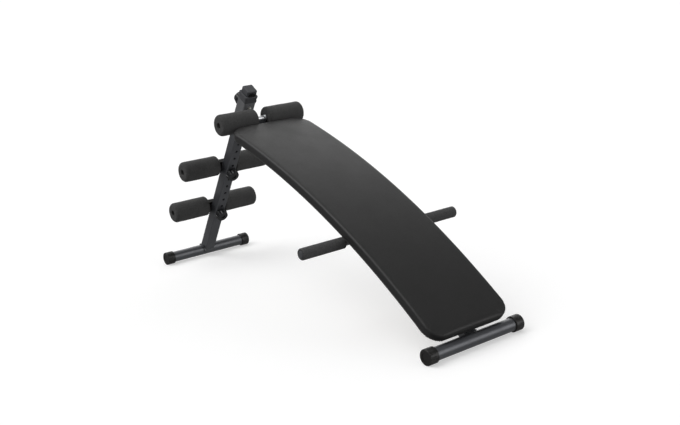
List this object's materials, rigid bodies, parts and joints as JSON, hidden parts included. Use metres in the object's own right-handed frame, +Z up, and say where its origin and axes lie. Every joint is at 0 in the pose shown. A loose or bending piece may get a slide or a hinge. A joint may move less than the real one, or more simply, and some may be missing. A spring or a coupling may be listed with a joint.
{
  "type": "decline sit-up bench",
  "caption": "Arched padded sit-up board on a steel frame, leaning post with foam leg rollers held by star knobs, adjustable height sleeve and foam hand grips.",
  "frame": {"origin": "on the floor in the middle of the footprint, on the plane of symmetry", "axes": "+X along the bench to its low end, +Y to the right of someone sitting on it and facing the rollers, +Z up"},
  "size_m": [1.476, 0.58, 0.6614],
  "materials": {
    "frame_paint": "satin anthracite powder coat with a fine metallic grain",
    "sleeve_paint": "satin anthracite powder coat",
    "weld_paint": "powder coat over a rippled weld bead",
    "black_plastic": "fine moulded grain, semi-matte",
    "knob_plastic": "moulded, soft gloss with worn lobe edges",
    "plug_plastic": "moulded, satin",
    "core_plastic": "smooth extruded tube",
    "foam_black": "closed-cell foam sleeve, matte",
    "grip_rubber": "closed-cell foam grip, matte",
    "stop_rubber": "moulded rubber",
    "bar_steel": "bright plated bar",
    "zinc_steel": "zinc plated",
    "vinyl_black": "black grained vinyl over foam",
    "plywood": "birch plywood"
  },
  "bodies": {
    "bench_frame": {"main_beam": "frame_paint", "height_sleeve": "sleeve_paint", "sleeve_collar": "plug_plastic", "sleeve_lower_bush": "black_plastic", "sleeve_lock_nut": "zinc_steel", "beam_sleeve_weld": "weld_paint", "beam_foot_weld": "weld_paint", "front_foot_tube": "frame_paint", "front_foot_cap_left": "black_plastic", "front_foot_cap_right": "black_plastic", "board_pad": "vinyl_black", "board_plywood": "plywood", "board_straps": "frame_paint", "board_bolts": "zinc_steel", "board_tee_nuts": "zinc_steel", "grip_bar": "frame_paint", "grip_foam_left": "grip_rubber", "grip_foam_right": "grip_rubber", "grip_bar_plugs": "plug_plastic", "upper_roller_bar": "bar_steel", "upper_bar_stand": "frame_paint", "upper_bar_stop_rings": "bar_steel", "upper_bar_end_caps": "black_plastic"},
    "post": {"post_tube": "frame_paint", "post_foot_weld": "weld_paint", "post_top_plug": "plug_plastic", "post_stop": "stop_rubber", "post_stop_rivet": "black_plastic", "rear_foot_tube": "frame_paint", "rear_foot_cap_left": "black_plastic", "rear_foot_cap_right": "black_plastic"},
    "mid_carrier": {"mid_roller_bar": "bar_steel", "mid_bar_saddle": "black_plastic", "mid_bar_end_caps": "black_plastic"},
    "low_carrier": {"low_roller_bar": "bar_steel", "low_bar_saddle": "black_plastic", "low_bar_end_caps": "black_plastic"},
    "mid_star_knob": {"mid_knob": "knob_plastic", "mid_knob_stud": "zinc_steel"},
    "low_star_knob": {"low_knob": "knob_plastic", "low_knob_stud": "zinc_steel"},
    "sleeve_star_knob": {"sleeve_knob": "knob_plastic", "sleeve_knob_stud": "zinc_steel"},
    "side_screw": {"side_screw_head": "knob_plastic", "side_screw_stud": "zinc_steel"},
    "mid_left_roller": {"mid_roller_foam_left": "foam_black", "mid_roller_core_left": "core_plastic"},
    "mid_right_roller": {"mid_roller_foam_right": "foam_black", "mid_roller_core_right": "core_plastic"},
    "low_left_roller": {"low_roller_foam_left": "foam_black", "low_roller_core_left": "core_plastic"},
    "low_right_roller": {"low_roller_foam_right": "foam_black", "low_roller_core_right": "core_plastic"},
    "upper_left_roller": {"upper_roller_foam_left": "foam_black", "upper_roller_core_left": "core_plastic"},
    "upper_right_roller": {"upper_roller_foam_right": "foam_black", "upper_roller_core_right": "core_plastic"}
  },
  "joints": [
    {"name": "bench_height", "type": "slide", "parent": "bench_frame", "child": "post", "axis": [0.5577, 0, 0.83], "range_m": [0, 0.195]},
    {"name": "mid_carrier_pull_off", "type": "slide", "parent": "post", "child": "mid_carrier", "axis": [-0.83, 0, 0.5577], "range_m": [0, 0.07]},
    {"name": "mid_knob_turn", "type": "hinge", "parent": "post", "child": "mid_star_knob", "pos_m": [-0.46756, 0, 0.33744], "axis": [0.83, 0, -0.5577], "range_deg": [0, 360]},
    {"name": "low_carrier_pull_off", "type": "slide", "parent": "post", "child": "low_carrier", "axis": [-0.83, 0, 0.5577], "range_m": [0, 0.07]},
    {"name": "low_knob_turn", "type": "hinge", "parent": "post", "child": "low_star_knob", "pos_m": [-0.57632, 0, 0.17559], "axis": [0.83, 0, -0.5577], "range_deg": [0, 360]},
    {"name": "sleeve_knob_turn", "type": "hinge", "parent": "bench_frame", "child": "sleeve_star_knob", "pos_m": [-0.35837, 0, 0.61647], "axis": [-0.83, 0, 0.5577], "range_deg": [0, 360]},
    {"name": "side_screw_turn", "type": "hinge", "parent": "bench_frame", "child": "side_screw", "pos_m": [-0.3229, 0.03, 0.6065], "axis": [0, 1, 0], "range_deg": [0, 360]},
    {"name": "mid_left_roller_spin", "type": "hinge", "parent": "mid_carrier", "child": "mid_left_roller", "pos_m": [-0.51753, -0.1008, 0.37102], "axis": [0, 1, 0], "continuous": true},
    {"name": "mid_right_roller_spin", "type": "hinge", "parent": "mid_carrier", "child": "mid_right_roller", "pos_m": [-0.51753, 0.1008, 0.37102], "axis": [0, 1, 0], "continuous": true},
    {"name": "low_left_roller_spin", "type": "hinge", "parent": "low_carrier", "child": "low_left_roller", "pos_m": [-0.62629, -0.1008, 0.20917], "axis": [0, 1, 0], "continuous": true},
    {"name": "low_right_roller_spin", "type": "hinge", "parent": "low_carrier", "child": "low_right_roller", "pos_m": [-0.62629, 0.1008, 0.20917], "axis": [0, 1, 0], "continuous": true},
    {"name": "upper_left_roller_spin", "type": "hinge", "parent": "bench_frame", "child": "upper_left_roller", "pos_m": [-0.25, -0.091, 0.554], "axis": [0, 1, 0], "continuous": true},
    {"name": "upper_right_roller_spin", "type": "hinge", "parent": "bench_frame", "child": "upper_right_roller", "pos_m": [-0.25, 0.091, 0.554], "axis": [0, 1, 0], "continuous": true}
  ]
}
